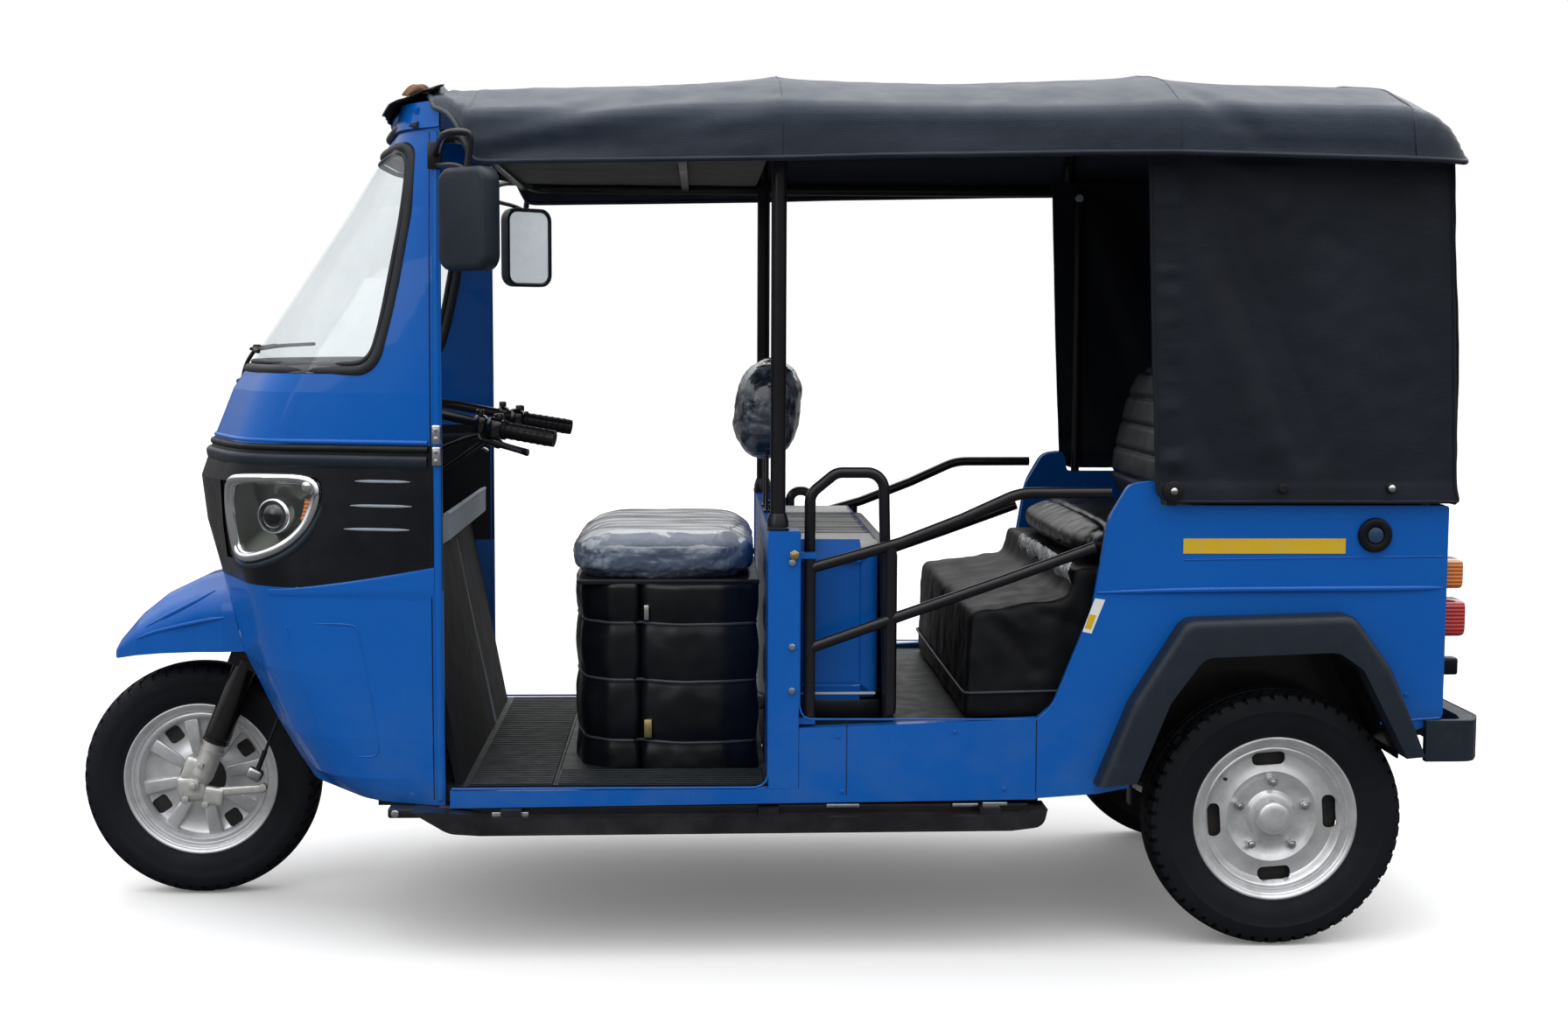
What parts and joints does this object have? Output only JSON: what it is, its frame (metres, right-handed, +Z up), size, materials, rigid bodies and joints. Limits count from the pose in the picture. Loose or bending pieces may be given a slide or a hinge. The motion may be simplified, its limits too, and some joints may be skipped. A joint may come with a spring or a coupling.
{
  "type": "auto rickshaw",
  "caption": "Open three-wheeled passenger cab with a steered front wheel, canvas roof, wrap-round screen, driver seat, rear bench and swinging side gates.",
  "frame": {"origin": "on the ground under the middle of the vehicle's length and width", "axes": "+X to the rear of the vehicle, +Y to its right side, +Z up"},
  "size_m": [2.906, 1.3524, 1.772],
  "materials": {
    "blue_paint": "gloss",
    "black_paint": "satin",
    "dark_plastic": "grained",
    "grey_plastic": "matt",
    "lamp_glass": "clear",
    "screen_glass": "clear",
    "lamp_plastic": "gloss",
    "floor_mat": "ribbed",
    "canvas": "coated cloth",
    "vinyl": "smooth vinyl",
    "cast_metal": "cast",
    "wheel_paint": "silver",
    "tyre": "matt"
  },
  "bodies": {
    "chassis": {"back_frame": "black_paint", "bench_back": "vinyl", "bench_cushion": "vinyl", "bulkhead": "blue_paint", "chassis_frame": "black_paint", "dash_tray": "grey_plastic", "driver_backrest": "vinyl", "driver_cushion": "vinyl", "engine_block": "cast_metal", "engine_cover": "dark_plastic", "fascia": "dark_plastic", "fender_flares": "dark_plastic", "floor_plate": "floor_mat", "front_mudguard": "blue_paint", "grab_rails": "black_paint", "headlamps": "lamp_glass", "leaf_springs": "black_paint", "lower_cab_shell": "blue_paint", "luggage_box": "blue_paint", "mirrors": "dark_plastic", "propeller_shaft": "black_paint", "quarter_panels": "blue_paint", "rear_axle": "black_paint", "rear_bumper": "dark_plastic", "rear_curtain": "canvas", "roof_bows": "black_paint", "roof_canopy": "canvas", "roof_cap": "blue_paint", "roof_posts": "black_paint", "roof_rails": "black_paint", "running_boards": "black_paint", "seat_box": "vinyl", "side_curtains": "canvas", "side_sills": "blue_paint", "tail_lamps": "lamp_plastic", "tail_panel": "blue_paint", "toe_board": "dark_plastic", "upper_cab_shell": "blue_paint", "wheel_arches": "black_paint", "wheel_well": "black_paint", "windshield": "screen_glass"},
    "steering": {"fork": "black_paint", "fork_sliders": "cast_metal", "handlebar": "black_paint"},
    "front_wheel": {"front_tyre": "tyre", "front_rim": "wheel_paint"},
    "rear_left_wheel": {"rear_left_tyre": "tyre", "rear_left_rim": "wheel_paint"},
    "rear_right_wheel": {"rear_right_tyre": "tyre", "rear_right_rim": "wheel_paint"},
    "left_gate": {"left_gate": "black_paint"},
    "right_gate": {"right_gate": "black_paint"}
  },
  "joints": [
    {"name": "steering_turn", "type": "hinge", "parent": "chassis", "child": "steering", "pos_m": [-1.163, 0, 0.255], "axis": [0.3746, 0, 0.9272], "range_deg": [-30, 30]},
    {"name": "front_wheel_spin", "type": "hinge", "parent": "steering", "child": "front_wheel", "pos_m": [-1.198, 0, 0.255], "axis": [0, 1, 0], "continuous": true},
    {"name": "rear_left_wheel_spin", "type": "hinge", "parent": "chassis", "child": "rear_left_wheel", "pos_m": [1.047, -0.43, 0.26], "axis": [0, 1, 0], "continuous": true},
    {"name": "rear_right_wheel_spin", "type": "hinge", "parent": "chassis", "child": "rear_right_wheel", "pos_m": [1.047, 0.43, 0.26], "axis": [0, 1, 0], "continuous": true},
    {"name": "left_gate_swing", "type": "hinge", "parent": "chassis", "child": "left_gate", "pos_m": [0.106, -0.496, 0.6], "axis": [0, 0, -1], "range_deg": [0, 100]},
    {"name": "right_gate_swing", "type": "hinge", "parent": "chassis", "child": "right_gate", "pos_m": [0.106, 0.496, 0.6], "axis": [0, 0, 1], "range_deg": [0, 100]}
  ]
}
